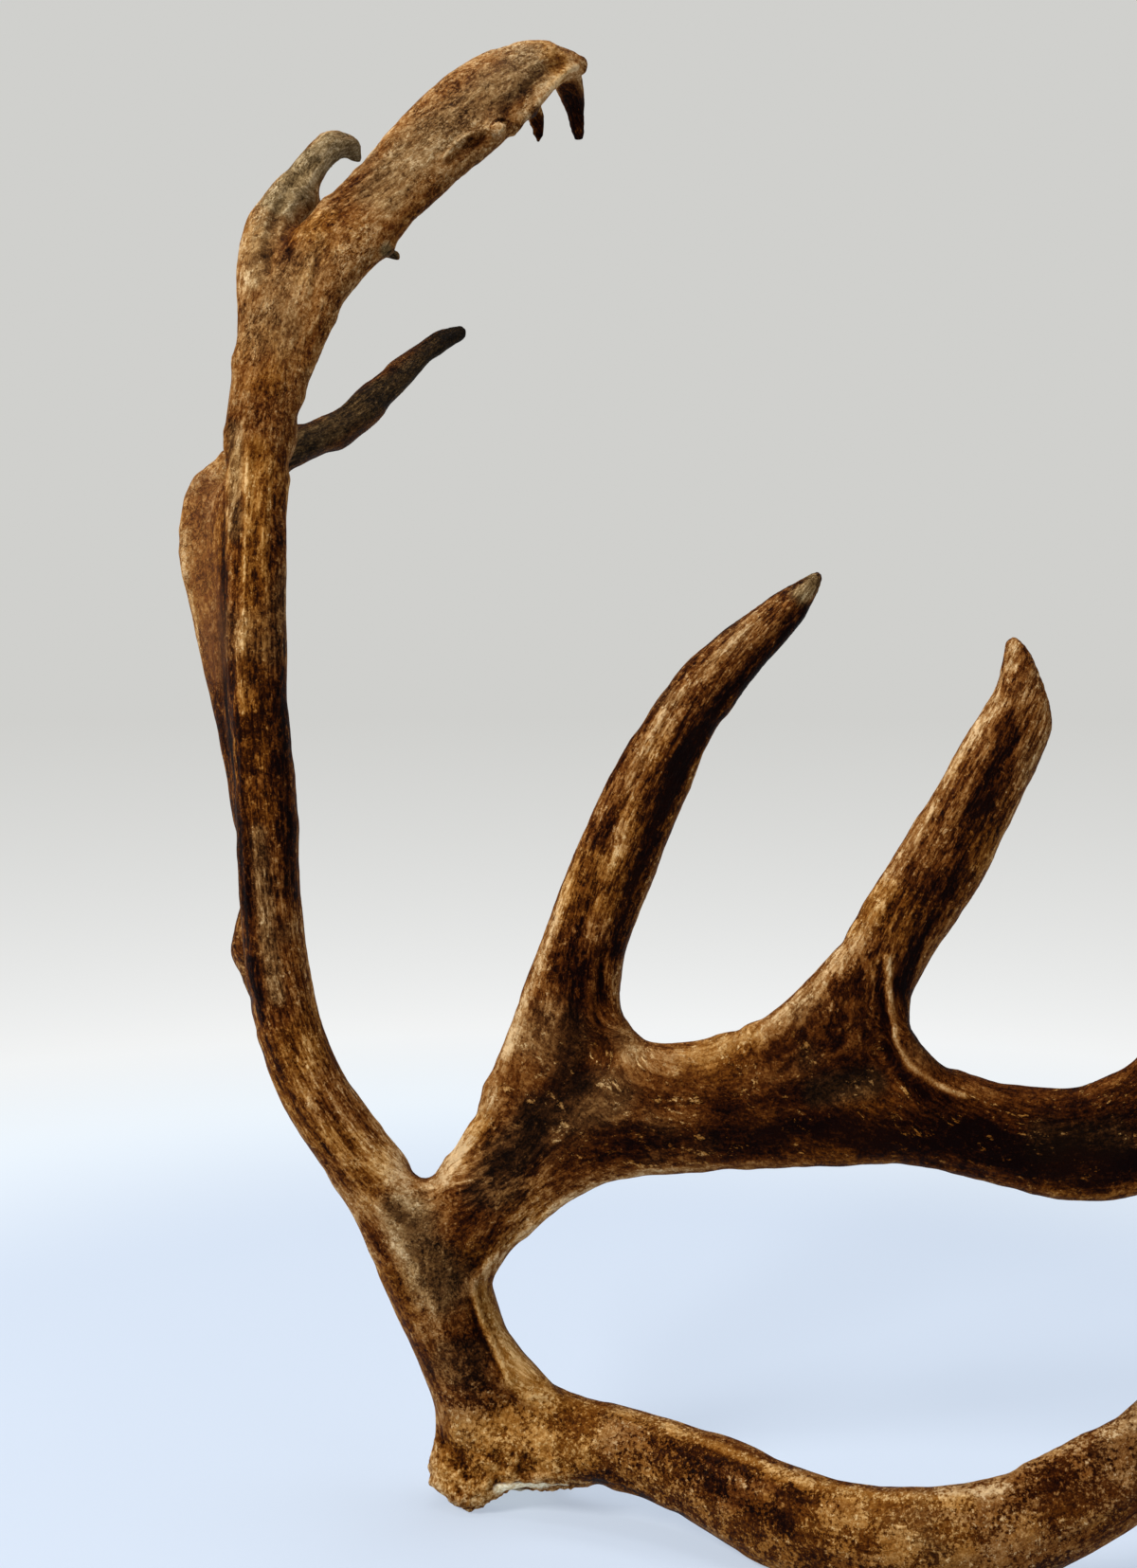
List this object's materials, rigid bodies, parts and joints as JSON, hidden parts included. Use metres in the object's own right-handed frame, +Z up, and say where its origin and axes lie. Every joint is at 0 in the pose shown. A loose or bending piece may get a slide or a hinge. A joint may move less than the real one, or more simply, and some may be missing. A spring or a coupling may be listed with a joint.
{
  "type": "caribou antler",
  "caption": "Shed antler with a knobbly burr, a curved main beam, a sweeping brow tine, a palmed bez with upright tines, rear tines and a hooked crown; it stands on burr and brow.",
  "frame": {"origin": "the flat spot under the burr where the antler touches the ground", "axes": "+Z is up as the antler stands, +X runs forward along the brow and bez tines, and +Y runs from the outer side, which the picture shows, to the inner side"},
  "size_m": [0.7665, 0.4786, 0.9457],
  "materials": {
    "antler": "dry weathered antler, dark brown with tan ridges and a pale bone seal under the burr"
  },
  "bodies": {
    "root": {"burr_and_lower_beam": "antler", "brow_tine": "antler", "bez_palm": "antler", "bez_tine_1": "antler", "bez_tine_2": "antler", "bez_tine_3": "antler", "middle_beam": "antler", "small_rear_tine": "antler", "rear_tine": "antler", "crown": "antler"}
  },
  "joints": []
}
